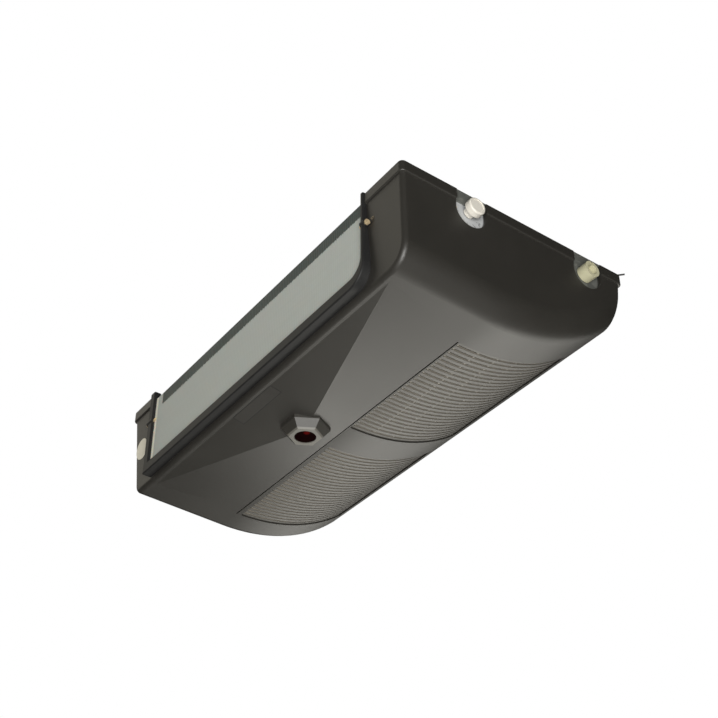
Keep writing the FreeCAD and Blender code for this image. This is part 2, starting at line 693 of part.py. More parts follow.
def rail_seat():
    """Flat plate on the chassis, round the output shaft, that the rail's foot bolts down on."""
    half_x = RAIL_X / 2.0 + RAIL_SEAT_MARGIN
    half_y = RAIL_Y / 2.0 + RAIL_SEAT_MARGIN
    plate = box(WHEEL_X - half_x, WHEEL_X + half_x, WHEEL_Y - half_y, WHEEL_Y + half_y, 0.0, RAIL_SEAT_THICK)
    plate = plate.makeFillet(RAIL_SEAT_R, [e for e in plate.Edges if e.BoundBox.ZLength > RAIL_SEAT_THICK / 2.0])
    holes = [(x, y, RAIL_HOLE_R) for x, y in rail_places()]
    holes.append((WHEEL_X, WHEEL_Y, SPROCKET_HUB_R + RAIL_SEAT_BORE_GAP))
    for x, y, r in holes:
        plate = plate.cut(rod(r, Vector(x, y, -1.0), UP, RAIL_SEAT_THICK + 2.0))
    return plate


def flange_face():
    """Outer face of the chassis flange behind the knobs."""
    half_x, _ = sheet_bounds()
    return -half_x + (END_FLANGE - RIM_BAND) * LEAN


def screw(radius, head_r, top, length, head):
    """Pan-head screw whose head rests on a face, shank downwards."""
    return rod(head_r, top, UP, head).fuse(rod(radius, top - UP * length, UP, length))


def cover_screws():
    places = [Vector(x, y, 0.0) for x, y in cover_screw_places()]
    return group([screw(COVER_SCREW_R - 0.05, 4.0, p, SCREW_LENGTH - 1.0, HEAD_HEIGHT) for p in places])


def dial_plate():
    """Printed scale on the flange behind the force knob."""
    face = flange_face()
    y0 = FORCE_Y - DIAL_FAR
    y1 = FORCE_Y + DIAL_LAMP
    plate = box(face - DIAL_THICK, face, y0, y1, -DIAL_DEPTH, -SHEET - DIAL_TOP_GAP)
    return plate.cut(rod(POT_SHAFT_R + 0.6, Vector(face - 2.0, FORCE_Y, KNOB_AXIS_Z), ALONG, 3.0))


def force_knob():
    """Short round knob with a dished face, on a narrower boss."""
    back = flange_face() - DIAL_THICK - KNOB_STANDOFF
    face = KNOB_END - FORCE_PROUD
    start = Vector(back, FORCE_Y, KNOB_AXIS_Z)
    front = Vector(face, FORCE_Y, KNOB_AXIS_Z)
    body = rod(FORCE_KNOB_R, front, ALONG, FORCE_BODY)
    rim = [e for e in body.Edges if e.BoundBox.XLength < 0.01 and e.CenterOfMass.x < face + 0.1]
    knob = body.makeFillet(FORCE_ROUND, rim).fuse(rod(FORCE_BOSS_R, start, -ALONG, back - face - FORCE_BODY / 2.0))
    knob = knob.cut(rod(FORCE_DISH_R, front - ALONG, ALONG, FORCE_DISH_DEPTH + 1.0))
    return knob.cut(rod(POT_SHAFT_R, start, -ALONG, FORCE_REACH))


def limit_knob():
    """Longer plain knob with a hollow end."""
    back = flange_face() - KNOB_STANDOFF
    face = KNOB_END - LIMIT_PROUD
    start = Vector(back, LIMIT_Y, KNOB_AXIS_Z)
    knob = rod(LIMIT_KNOB_R, start, -ALONG, back - face)
    knob = knob.cut(rod(LIMIT_HOLLOW_R, Vector(face - 1.0, LIMIT_Y, KNOB_AXIS_Z), ALONG, LIMIT_HOLLOW_DEPTH + 1.0))
    knob = knob.cut(box(face - 1.0, face + 5.0, LIMIT_Y - 0.6, LIMIT_Y + 0.6, KNOB_AXIS_Z, KNOB_AXIS_Z + 9.0))
    return knob.cut(rod(POT_SHAFT_R, start, -ALONG, 5.0))


def pot_shaft(y, standoff, reach):
    """Spindle that a knob is pressed on."""
    back = flange_face() + SHEET + 6.0
    front = flange_face() - standoff - reach
    return rod(POT_SHAFT_R, Vector(front, y, KNOB_AXIS_Z), ALONG, back - front)


def potentiometer(y):
    """Open-fronted control body under the chassis plate that carries a spindle."""
    x0 = flange_face() + SHEET + 0.3
    body = box(x0, x0 + POT_HEIGHT, y - POT_SIZE / 2, y + POT_SIZE / 2, BOARD_Z + BOARD_THICK, KNOB_AXIS_Z + 6.0)
    return body.cut(rod(POT_SHAFT_R + RUNNING_GAP, Vector(x0 - 1.0, y, KNOB_AXIS_Z), ALONG, 7.2))


def board_bounds():
    x0 = flange_face() + SHEET + BOARD_GAP
    return x0 - BOARD_GAP + 0.5, x0 + BOARD_LENGTH, LIMIT_Y - 12.0, REFLECTOR_Y - 2.0


def control_board():
    x0, x1, y0, y1 = board_bounds()
    board = box(x0, x1, y0, y1, BOARD_Z, BOARD_Z + BOARD_THICK)
    for x, y in spacer_places():
        board = board.cut(rod(1.7, Vector(x, y, BOARD_Z - 1.0), UP, BOARD_THICK + 2.0))
    return board


def spacer_places():
    x0, x1, y0, y1 = board_bounds()
    return [(x, y) for x in (x0 + 22.0, x1 - 6.0) for y in (y0 + 6.0, y1 - 6.0)]


def board_spacers():
    posts = []
    for x, y in spacer_places():
        start = Vector(x, y, BOARD_Z + BOARD_THICK)
        posts.append(tube(3.2, 1.65, start, UP, -SHEET - start.z))
    return group(posts)


def relays():
    x0, x1, y0, y1 = board_bounds()
    top = BOARD_Z + BOARD_THICK
    return group([box(x1 - 34.0, x1 - 16.0, y, y + 15.0, top, top + 15.0) for y in (y0 + 22.0, y0 + 42.0)])


def board_parts():
    """Chips, driver and small capacitors on the underside of the board."""
    x0, x1, y0, y1 = board_bounds()
    parts = [box(x0 + 14.0, x0 + 44.0, y0 + 62.0, y0 + 70.0, BOARD_Z - 3.5, BOARD_Z)]
    for i in range(3):
        parts.append(rod(4.0, Vector(x0 + 16.0 + i * 11.0, y0 + 30.0, BOARD_Z - 11.0), UP, 11.0))
    parts.append(box(x1 - 14.0, x1 - 4.0, y0 + 84.0, y0 + 96.0, BOARD_Z - 9.0, BOARD_Z))
    return group(parts)


def terminal_block():
    x0, x1, y0, y1 = board_bounds()
    top = BOARD_Z + BOARD_THICK
    block = box(x1 - 11.0, x1 - 1.0, y0 + 20.0, y0 + 60.0, top, top + 12.0)
    for i in range(6):
        block = block.cut(rod(2.0, Vector(x1 - 6.0, y0 + 24.0 + i * 6.4, top + 7.0), UP, 6.0))
    return block


def wheel_axis(z):
    return Vector(WHEEL_X, WHEEL_Y, z)


def case_outline(radius, half, z0, z1):
    """Round wheel chamber with a straight tunnel block for the worm beside it."""
    disc = rod(radius, wheel_axis(z0), UP, z1 - z0)
    block = box(TUNNEL_X0, TUNNEL_X1, WORM_Y - half, WORM_Y + half, z0, z1)
    return disc.fuse(block)


def gear_case():
    """Cast housing that hangs under the chassis plate."""
    body = case_outline(CASE_R, TUNNEL_R + CASE_WALL, CASE_BOTTOM, DRIVE_Z + WHEEL_FACE / 2.0 + CASE_GAP + CASE_WALL)
    head = rod(SHAFT_R + BUSH_WALL + 8.0, wheel_axis(DRIVE_Z), UP, -SHEET - DRIVE_Z)
    tunnel_top = box(
        TUNNEL_X0, TUNNEL_X1, WORM_Y - TUNNEL_R - CASE_WALL, WORM_Y + TUNNEL_R + CASE_WALL,
        DRIVE_Z, DRIVE_Z + TUNNEL_R + CASE_WALL,
    )
    nose = rod(NOSE_R, motor_point(MOTOR_X1), ALONG, TUNNEL_X0 - MOTOR_X1 + 1.0)
    body = body.fuse(head).fuse(tunnel_top).fuse(nose)
    for x, y in rail_places():
        body = body.fuse(rod(LUG_R, Vector(x, y, -SHEET - LUG_HEIGHT), UP, LUG_HEIGHT).fuse(arm(x, y)))
    chamber = rod(CASE_R - CASE_WALL, wheel_axis(CASE_BOTTOM - 1.0), UP,
                  DRIVE_Z + WHEEL_FACE / 2.0 + CASE_GAP - CASE_BOTTOM + 1.0)
    tunnel = rod(TUNNEL_R, Vector(WHEEL_X - WORM_LENGTH / 2.0 - 1.0, WORM_Y, DRIVE_Z), ALONG, WORM_LENGTH + 2.0)
    seats = rod(BEARING_R, motor_point(TUNNEL_X0), ALONG, TUNNEL_X1 - TUNNEL_X0 + 1.0)
    seats = seats.fuse(rod(WORM_SHAFT_R + 2.0, motor_point(MOTOR_X1 - 1.0), ALONG, TUNNEL_X0 - MOTOR_X1 + 2.0))
    bush = rod(SHAFT_R + RUNNING_GAP + BUSH_WALL, wheel_axis(DRIVE_Z), UP, 40.0)
    body = body.cut(chamber).cut(tunnel).cut(seats).cut(bush)
    for x, y in rail_places():
        body = body.cut(rod(RAIL_HOLE_R, Vector(x, y, -SHEET - 12.0), UP, 13.0))
    return body.removeSplitter()


def arm(x, y):
    """Web from a corner lug to the middle of the case."""
    centre = wheel_axis(0.0)
    way = Vector(x - centre.x, y - centre.y, 0.0)
    reach = way.Length
    web = box(0.0, reach, -3.0, 3.0, -SHEET - LUG_HEIGHT, -SHEET - 4.0)
    web.rotate(Vector(0, 0, 0), UP, math.degrees(math.atan2(way.y, way.x)))
    web.translate(centre)
    return web


def gear_lid():
    """Flat cover under the gear case with a boss for the lower bush."""
    lid = case_outline(CASE_R, TUNNEL_R + CASE_WALL, CASE_BOTTOM - LID_THICK, CASE_BOTTOM)
    boss = rod(SHAFT_R + BUSH_WALL + 3.0, wheel_axis(CASE_BOTTOM - LID_THICK - 6.0), UP, 6.0 + LID_THICK)
    lid = lid.fuse(boss)
    lid = lid.cut(rod(SHAFT_R + RUNNING_GAP + BUSH_WALL, wheel_axis(CASE_BOTTOM - LID_THICK - 3.0), UP, 30.0))
    for x, y in lid_screw_places():
        lid = lid.cut(rod(1.6, Vector(x, y, CASE_BOTTOM - LID_THICK - 1.0), UP, LID_THICK + 2.0))
    return lid.removeSplitter()


def lid_screw_places():
    ring = CASE_R - CASE_WALL / 2.0
    return [
        (WHEEL_X + ring * math.cos(math.radians(a)), WHEEL_Y + ring * math.sin(math.radians(a)))
        for a in (10.0, 60.0, 120.0, 170.0)
    ]


def lid_screws():
    screws = []
    for x, y in lid_screw_places():
        at = Vector(x, y, CASE_BOTTOM - LID_THICK)
        screws.append(rod(2.6, at - UP * 2.0, UP, 2.0).fuse(rod(1.2, at, UP, LID_THICK + 0.0)))
    return group(screws)


def tooth(width_root, width_tip, root, tip, face, lean_shift):
    """Straight-sided wheel tooth, leaned along its face to follow the worm's thread."""
    low = [
        Vector(root, -width_root / 2.0, 0), Vector(tip, -width_tip / 2.0, 0),
        Vector(tip, width_tip / 2.0, 0), Vector(root, width_root / 2.0, 0),
    ]
    return prism(low, Vector(0, lean_shift, face))


def worm_wheel():
    """Helical wheel with trapezoid teeth."""
    lead_angle = math.atan(WORM_LEAD / (2.0 * math.pi * WORM_PITCH_R))
    root = WHEEL_PITCH_R - 1.2 * MODULE
    tip = WHEEL_PITCH_R + 0.9 * MODULE
    flank = math.tan(math.radians(20.0))
    pitch_width = math.pi * MODULE / 2.0 - 2.0 * TOOTH_BACKLASH
    width_root = pitch_width + 2.0 * flank * 1.2 * MODULE
    width_tip = pitch_width - 2.0 * flank * 0.9 * MODULE
    shift = WHEEL_FACE * math.tan(lead_angle)
    bottom = DRIVE_Z - WHEEL_FACE / 2.0
    teeth = []
    for i in range(WHEEL_TEETH):
        one = tooth(width_root, width_tip, root - 1.0, tip, WHEEL_FACE, shift)
        one.translate(Vector(0, -shift / 2.0, bottom))
        one.rotate(Vector(0, 0, 0), UP, -90.0 + 360.0 * (i + 0.5) / WHEEL_TEETH)
        teeth.append(one)
    disc = rod(root, Vector(0, 0, bottom), UP, WHEEL_FACE)
    hub = rod(SHAFT_R + 5.0, Vector(0, 0, bottom - 1.0), UP, WHEEL_FACE + 2.0)
    wheel = disc.multiFuse(teeth + [hub])
    for i in range(6):
        at = Vector(18.0 * math.cos(math.radians(60.0 * i)), 18.0 * math.sin(math.radians(60.0 * i)), bottom - 1.0)
        wheel = wheel.cut(rod(4.5, at, UP, WHEEL_FACE + 2.0))
    wheel = wheel.cut(rod(SHAFT_R, Vector(0, 0, bottom - 5.0), UP, WHEEL_FACE + 10.0))
    wheel.translate(Vector(WHEEL_X, WHEEL_Y, 0))
    return wheel.removeSplitter()


def worm():
    """Single-start worm: a trapezoid thread on a helix round a plain core.

    An even number of turns that starts on the wheel's side puts a crest opposite the wheel's gap.
    """
    core_r = WORM_PITCH_R - 1.1 * MODULE
    tip_r = WORM_PITCH_R + 0.9 * MODULE
    flank = math.tan(math.radians(20.0))
    pitch_width = math.pi * MODULE / 2.0 - 2.0 * TOOTH_BACKLASH
    half_root = pitch_width / 2.0 + flank * 1.3 * MODULE
    half_tip = pitch_width / 2.0 - flank * 0.9 * MODULE
    turns = 2 * int((WORM_LENGTH - 8.0) / WORM_LEAD / 2.0)
    height = turns * WORM_LEAD
    helix = Part.makeHelix(WORM_LEAD, height, WORM_PITCH_R)
    low = core_r - 0.4
    section = Part.makePolygon([
        Vector(low, 0, -half_root), Vector(tip_r, 0, -half_tip),
        Vector(tip_r, 0, half_tip), Vector(low, 0, half_root), Vector(low, 0, -half_root),
    ])
    thread = Part.Wire(helix).makePipeShell([section], True, True)
    core = rod(core_r, Vector(0, 0, -(WORM_LENGTH - height) / 2.0), UP, WORM_LENGTH)
    screw_part = core.fuse(thread)
    screw_part = screw_part.cut(rod(WORM_SHAFT_R, Vector(0, 0, -WORM_LENGTH), UP, 3.0 * WORM_LENGTH))
    screw_part.translate(Vector(0, 0, -height / 2.0))
    screw_part.rotate(Vector(0, 0, 0), ACROSS, 90.0)
    screw_part.rotate(Vector(0, 0, 0), ALONG, 90.0)
    screw_part.translate(Vector(WHEEL_X, WORM_Y, DRIVE_Z))
    return screw_part


def motor_point(x):
    return Vector(x, WORM_Y, DRIVE_Z)


def rotor_shaft():
    x0 = MOTOR_X0 - 12.0
    return rod(WORM_SHAFT_R, motor_point(x0), ALONG, TUNNEL_X1 - x0)


def rotor():
    """Wound stack on the motor shaft."""
    x0 = (MOTOR_X0 + MOTOR_X1 - STACK_LENGTH) / 2.0
    return tube(ROTOR_R, WORM_SHAFT_R, motor_point(x0), ALONG, STACK_LENGTH)


def stator():
    """Laminated ring pressed in the can."""
    x0 = (MOTOR_X0 + MOTOR_X1 - STACK_LENGTH) / 2.0
    return tube(MOTOR_R - MOTOR_CAN, ROTOR_R + AIR_GAP, motor_point(x0), ALONG, STACK_LENGTH)


def motor_can():
    x0 = MOTOR_X0 + BELL_THICK
    return tube(MOTOR_R, MOTOR_R - MOTOR_CAN, motor_point(x0), ALONG, MOTOR_LENGTH - 2.0 * BELL_THICK)


def bell(x0):
    """End plate with a bearing seat."""
    plate = rod(MOTOR_R, motor_point(x0), ALONG, BELL_THICK)
    return plate.cut(rod(BEARING_R, motor_point(x0 - 1.0), ALONG, BELL_THICK + 2.0))


def motor_bearings():
    inner = WORM_SHAFT_R + RUNNING_GAP
    starts = (MOTOR_X0, MOTOR_X1 - BELL_THICK)
    rings = [tube(BEARING_R, inner, motor_point(x), ALONG, BELL_THICK) for x in starts]
    return group(rings)


def worm_bearings():
    inner = WORM_SHAFT_R + RUNNING_GAP
    length = BEARING_LENGTH - 1.0
    starts = (TUNNEL_X0, TUNNEL_X1 - length)
    return group([tube(BEARING_R, inner, motor_point(x), ALONG, length) for x in starts])


def encoder_disc():
    """Slotted disc that lets the board count motor turns."""
    x0 = MOTOR_X0 - 8.0
    disc = rod(ENCODER_R, motor_point(x0), ALONG, 1.2).fuse(rod(WORM_SHAFT_R + 2.0, motor_point(x0), ALONG, 5.0))
    for i in range(8):
        slot = box(x0 - 1.0, x0 + 3.0, WORM_Y + 8.0, WORM_Y + 12.0, DRIVE_Z - 1.2, DRIVE_Z + 1.2)
        slot.rotate(motor_point(x0), ALONG, 45.0 * i)
        disc = disc.cut(slot)
    return disc.cut(rod(WORM_SHAFT_R, motor_point(x0 - 1.0), ALONG, 10.0))


def motor_strap():
    """Steel band that holds the motor up to the chassis plate."""
    x = MOTOR_X0 + MOTOR_LENGTH / 2.0
    width = 16.0
    start = motor_point(x - width / 2.0)
    band = tube(MOTOR_R + SHEET, MOTOR_R, start, ALONG, width)
    top = -SHEET
    crown = DRIVE_Z + MOTOR_R
    for way in (-1, 1):
        y = WORM_Y + way * (MOTOR_R - 4.0)
        leg = box(x - width / 2, x + width / 2, min(y, y + way * SHEET), max(y, y + way * SHEET), crown - 14.0, top)
        foot = box(x - width / 2, x + width / 2, min(y, y + way * 12.0), max(y, y + way * 12.0), top - SHEET, top)
        band = band.fuse(leg.fuse(foot))
    return band.cut(rod(MOTOR_R, start - ALONG, ALONG, width + 2.0)).removeSplitter()


def output_shaft():
    return rod(SHAFT_R, wheel_axis(SHAFT_BOTTOM), UP, SHAFT_TOP - SHAFT_BOTTOM)


def shaft_bushes():
    inner = SHAFT_R + RUNNING_GAP
    upper = tube(inner + BUSH_WALL, inner, wheel_axis(-SHEET - BUSH_LENGTH), UP, BUSH_LENGTH + SHEET)
    lower = tube(inner + BUSH_WALL, inner, wheel_axis(CASE_BOTTOM - LID_THICK - 3.0), UP, BUSH_LENGTH - 2.0)
    return group([upper, lower])


def sprocket():
    """Chain wheel: a disc with round roller seats and a hub."""
    pitch_r = CHAIN_PITCH / (2.0 * math.sin(math.pi / SPROCKET_TEETH))
    disc = rod(pitch_r + ROLLER_R * 0.75, Vector(0, 0, 0), UP, SPROCKET_THICK)
    for i in range(SPROCKET_TEETH):
        angle = 2.0 * math.pi * i / SPROCKET_TEETH
        at = Vector(pitch_r * math.cos(angle), pitch_r * math.sin(angle), -1.0)
        away = Vector(math.cos(angle), math.sin(angle), 0.0)
        seat = rod(ROLLER_R, at, UP, SPROCKET_THICK + 2.0)
        throat = box(0.0, 10.0, -ROLLER_R, ROLLER_R, 0.0, SPROCKET_THICK + 2.0)
        throat.rotate(Vector(0, 0, 0), UP, math.degrees(angle))
        throat.translate(at + away * ROLLER_R * 0.3)
        disc = disc.cut(seat.fuse(throat))
    wheel = disc.fuse(rod(SPROCKET_HUB_R, Vector(0, 0, -6.0), UP, 6.0 + SPROCKET_THICK))
    wheel = wheel.cut(rod(SHAFT_R, Vector(0, 0, -10.0), UP, 30.0))
    wheel.translate(wheel_axis(SPROCKET_Z))
    return wheel.removeSplitter()


def sprocket_clip():
    """Snap ring that keeps the sprocket on its shaft."""
    ring = tube(SHAFT_R + 2.5, SHAFT_R, wheel_axis(SPROCKET_Z + SPROCKET_THICK + 0.2), UP, 1.2)
    gap = box(WHEEL_X, WHEEL_X + 12.0, WHEEL_Y - 2.0, WHEEL_Y + 2.0, SPROCKET_Z, SPROCKET_Z + 10.0)
    return ring.cut(gap)


def transformer():
    """Laminated core and bobbin, beside the gear case."""
    x0 = TUNNEL_X1 + 22.0
    core = box(x0, x0 + 52.0, WHEEL_Y - 26.0, WHEEL_Y + 26.0, -46.0, -SHEET)
    return core.cut(box(x0 + 10.0, x0 + 42.0, WHEEL_Y - 27.0, WHEEL_Y + 27.0, -38.0, -10.0))


def transformer_coil():
    x0 = TUNNEL_X1 + 22.0
    return box(x0 + 10.2, x0 + 41.8, WHEEL_Y - 32.0, WHEEL_Y + 32.0, -37.8, -10.2)


def capacitor_point(x):
    y = FAR_SIDE + CHASSIS_INSET + CAPACITOR_R + 10.0
    return Vector(x, y, -SHEET - CAPACITOR_R - 3.0)


def capacitor():
    x0 = TUNNEL_X1 + 4.0
    can = rod(CAPACITOR_R, capacitor_point(x0), ALONG, CAPACITOR_LENGTH)
    ends = [e for e in can.Edges if e.BoundBox.XLength < 0.01]
    return can.makeFillet(2.0, ends)


def capacitor_clip():
    x = TUNNEL_X1 + 4.0 + CAPACITOR_LENGTH / 2.0
    start = capacitor_point(x - 7.0)
    band = tube(CAPACITOR_R + 1.0, CAPACITOR_R, start, ALONG, 14.0)
    post = box(start.x, start.x + 14.0, start.y - 9.0, start.y + 9.0, start.z + CAPACITOR_R - 2.0, -SHEET)
    return band.fuse(post).cut(rod(CAPACITOR_R, start - ALONG, ALONG, 16.0)).removeSplitter()


def bay_bounds():
    return LENS_X0 + 4.0, LENS_X1 - 4.0


def reflector():
    """White folded sheet behind the lamps."""
    x0, x1 = bay_bounds()
    back = box(x0, x1, REFLECTOR_Y, REFLECTOR_Y + SHEET, LENS_BOTTOM - 2.0, -SHEET)
    tray_y = LAMP_SIDE - LENS_DEPTH - 6.0
    tray = box(x0, x1, REFLECTOR_Y, tray_y, LENS_BOTTOM - 2.0, LENS_BOTTOM - 2.0 + SHEET)
    sheet = back.fuse(tray)
    return sheet.cut(rod(WINDOW_R + 2.0, APEX, UP, 60.0)).removeSplitter()


def lamp_point(x):
    return Vector(x, (REFLECTOR_Y + LAMP_SIDE - LENS_DEPTH) / 2.0 + 1.0, LAMP_Z)


def lamp_places():
    x0, x1 = bay_bounds()
    return [(x0 + 8.0, 1), (x1 - 8.0, -1)]


def lamp_holders():
    """Two screw-cap holders hung from brackets at the ends of the lamp bay."""
    holders = []
    for x, way in lamp_places():
        start = lamp_point(x)
        cup = rod(15.0, start, ALONG * way, 26.0).cut(rod(12.4, start + ALONG * way * 4.0, ALONG * way, 30.0))
        left = min(x, x + way * 3.0)
        bracket = box(left, left + 3.0, start.y - 12.0, start.y + 12.0, start.z - 12.0, -SHEET)
        holders.append(cup.fuse(bracket).removeSplitter())
    return group(holders)


def bulb_caps():
    caps = []
    for x, way in lamp_places():
        caps.append(rod(12.1, lamp_point(x) + ALONG * way * 6.0, ALONG * way, 24.0))
    return group(caps)


def bulbs():
    """Tubular lamps with rounded ends."""
    lamps = []
    for x, way in lamp_places():
        start = lamp_point(x) + ALONG * way * 30.0
        glass = rod(BULB_R, start, ALONG * way, BULB_LENGTH)
        far = [e for e in glass.Edges if e.BoundBox.XLength < 0.01 and abs(e.CenterOfMass.x - start.x) > 5.0]
        near = [e for e in glass.Edges if e.BoundBox.XLength < 0.01 and abs(e.CenterOfMass.x - start.x) < 5.0]
        glass = glass.makeFillet(BULB_R * 0.8, far)
        near = [e for e in glass.Edges if e.BoundBox.XLength < 0.01 and abs(e.CenterOfMass.x - start.x) < 0.1]
        lamps.append(glass.makeFillet(4.0, near))
    return group(lamps)


def cord_gland():
    """Flanged bush in the supply end for the mains lead."""
    wall_x = SUPPLY_END - wall_offset(GLAND_Z, 0.0)
    start = Vector(wall_x - GLAND_LENGTH + 4.0, GLAND_Y, GLAND_Z)
    body = rod(GLAND_R - 0.05, start, ALONG, GLAND_LENGTH)
    flange_x = SUPPLY_END - wall_offset(GLAND_Z + GLAND_R + 3.0, 0.0) + 0.1
    flange = rod(GLAND_R + 3.0, Vector(flange_x, GLAND_Y, GLAND_Z), ALONG, 2.2)
    nut = rod(GLAND_R + 3.0, Vector(wall_x - WALL - 4.0, GLAND_Y, GLAND_Z), ALONG, 3.0)
    return body.fuse(flange).fuse(nut).cut(rod(GLAND_BORE_R, start - ALONG, ALONG, GLAND_LENGTH + 2.0))


def learn_button():
    """Small round push-button that codes a new remote."""
    wall_x = SUPPLY_END - wall_offset(GLAND_Z, 0.0)
    stem = rod(BUTTON_R, Vector(wall_x - WALL - 5.0, BUTTON_Y, GLAND_Z), ALONG, WALL + 5.0 + 2.2)
    return stem.fuse(rod(BUTTON_R + 1.5, Vector(wall_x - WALL - 5.0, BUTTON_Y, GLAND_Z), ALONG, 1.5))


def button_switch():
    """Switch body behind the learn button, hung from the chassis plate."""
    wall_x = SUPPLY_END - wall_offset(GLAND_Z, 0.0)
    face = wall_x - WALL - 5.0 - BUTTON_TRAVEL - 0.8
    return box(face - 7.0, face, BUTTON_Y - 7.0, BUTTON_Y + 7.0, GLAND_Z - 7.0, -SHEET)


def antenna_wire():
    """Stiff aerial that lies on the chassis plate and leaves over the rim's corner."""
    start = Vector(KNOB_END + 44.0, FAR_SIDE + 40.0, RIM_TOP + WIRE_R + 0.4)
    end = Vector(KNOB_END - 2.0, FAR_SIDE - 2.0, RIM_TOP + WIRE_R + 0.4)
    way = (end - start)
    return rod(WIRE_R, start, way.normalize(), (end - start).Length)


def antenna_grommet():
    """Rubber post that holds the aerial's inner end."""
    start = Vector(KNOB_END + 44.0, FAR_SIDE + 40.0, 0.0)
    return rod(4.0, start, UP, RIM_TOP + 2.0 * WIRE_R + 1.6).cut(antenna_wire())


def save(name, shape):
    shape.exportStep("parts/" + name + ".step")
    solids = len(shape.Solids)
    bounds = shape.optimalBoundingBox(True, False)
    print("%-18s solids %2d  valid %s  x %.1f..%.1f  y %.1f..%.1f  z %.1f..%.1f" % (
        name, solids, shape.isValid(), bounds.XMin, bounds.XMax, bounds.YMin, bounds.YMax, bounds.ZMin, bounds.ZMax))


PIECES = {
    "cover": cover,
    "lens_frame": lens_frame,
    "light_lens": light_lens,
    "lens_screws": lens_screws,
    "near_grille": lambda: grille(0, False),
    "far_grille": lambda: grille(1, True),
    "hex_bezel": hex_bezel,
    "indicator_window": indicator_window,
    "sensor": sensor,
    "chassis": chassis,
    "rail_seat": rail_seat,
    "cover_screws": cover_screws,
    "dial_plate": dial_plate,
    "force_knob": force_knob,
    "force_spindle": lambda: pot_shaft(FORCE_Y, DIAL_THICK + KNOB_STANDOFF, FORCE_REACH),
    "force_control": lambda: potentiometer(FORCE_Y),
    "limit_knob": limit_knob,
    "limit_spindle": lambda: pot_shaft(LIMIT_Y, KNOB_STANDOFF, 5.0),
    "limit_control": lambda: potentiometer(LIMIT_Y),
    "control_board": control_board,
    "board_spacers": board_spacers,
    "relays": relays,
    "board_parts": board_parts,
    "terminal_block": terminal_block,
    "gear_case": gear_case,
    "gear_lid": gear_lid,
    "lid_screws": lid_screws,
    "worm_wheel": worm_wheel,
    "worm": worm,
    "worm_bearings": worm_bearings,
    "output_shaft": output_shaft,
    "shaft_bushes": shaft_bushes,
    "sprocket": sprocket,
    "sprocket_clip": sprocket_clip,
    "motor_can": motor_can,
    "front_bell": lambda: bell(MOTOR_X1 - BELL_THICK),
    "rear_bell": lambda: bell(MOTOR_X0),
    "stator": stator,
    "rotor": rotor,
    "rotor_shaft": rotor_shaft,
    "motor_bearings": motor_bearings,
    "encoder_disc": encoder_disc,
    "motor_strap": motor_strap,
    "transformer_core": transformer,
    "transformer_coil": transformer_coil,
    "capacitor": capacitor,
    "capacitor_clip": capacitor_clip,
    "reflector": reflector,
    "lamp_holders": lamp_holders,
    "bulb_caps": bulb_caps,
    "bulbs": bulbs,
    "cord_gland": cord_gland,
    "learn_button": learn_button,
    "button_switch": button_switch,
    "antenna_wire": antenna_wire,
    "antenna_grommet": antenna_grommet,
}

os.makedirs("parts", exist_ok=True)
for piece_name, make in PIECES.items():
    save(piece_name, make())
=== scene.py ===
import math
import bmesh
import bpy
import numpy as np
from mathutils import Matrix, Vector


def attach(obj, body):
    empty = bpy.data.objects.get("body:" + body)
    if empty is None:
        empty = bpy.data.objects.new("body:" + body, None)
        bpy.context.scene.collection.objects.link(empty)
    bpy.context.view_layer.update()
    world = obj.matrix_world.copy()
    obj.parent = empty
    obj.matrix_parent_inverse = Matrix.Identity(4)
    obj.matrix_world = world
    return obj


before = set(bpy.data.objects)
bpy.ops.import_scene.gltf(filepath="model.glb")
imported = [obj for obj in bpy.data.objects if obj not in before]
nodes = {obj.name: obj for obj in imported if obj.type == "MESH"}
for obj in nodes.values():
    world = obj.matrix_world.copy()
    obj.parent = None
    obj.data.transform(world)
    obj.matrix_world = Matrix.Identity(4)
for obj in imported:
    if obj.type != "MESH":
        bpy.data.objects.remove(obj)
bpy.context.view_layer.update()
print("frame loaded:", len(nodes), "nodes")


# shader maths: operators on a Field add Math nodes
class Field:
    def __init__(self, finish, socket):
        self.finish = finish
        self.socket = socket

    def calc(self, operation, *others):
        values = {0: self}
        for i, other in enumerate(others):
            values[i + 1] = other
        return self.finish.node("ShaderNodeMath", {"operation": operation}, values)

    def __add__(self, other):
        return self.calc("ADD", other)

    def __radd__(self, other):
        return self.calc("ADD", other)

    def __sub__(self, other):
        return self.calc("SUBTRACT", other)

    def __rsub__(self, other):
        return (self * -1.0) + other

    def __mul__(self, other):
        return self.calc("MULTIPLY", other)

    def __rmul__(self, other):
        return self.calc("MULTIPLY", other)

    def above(self, edge, softness):
        # 0 below the edge, 1 above it, over a soft step
        return self.finish.node("ShaderNodeMapRange", {"clamp": True, "interpolation_type": "SMOOTHSTEP"},
                                {"Value": self, "From Min": edge - softness, "From Max": edge + softness})


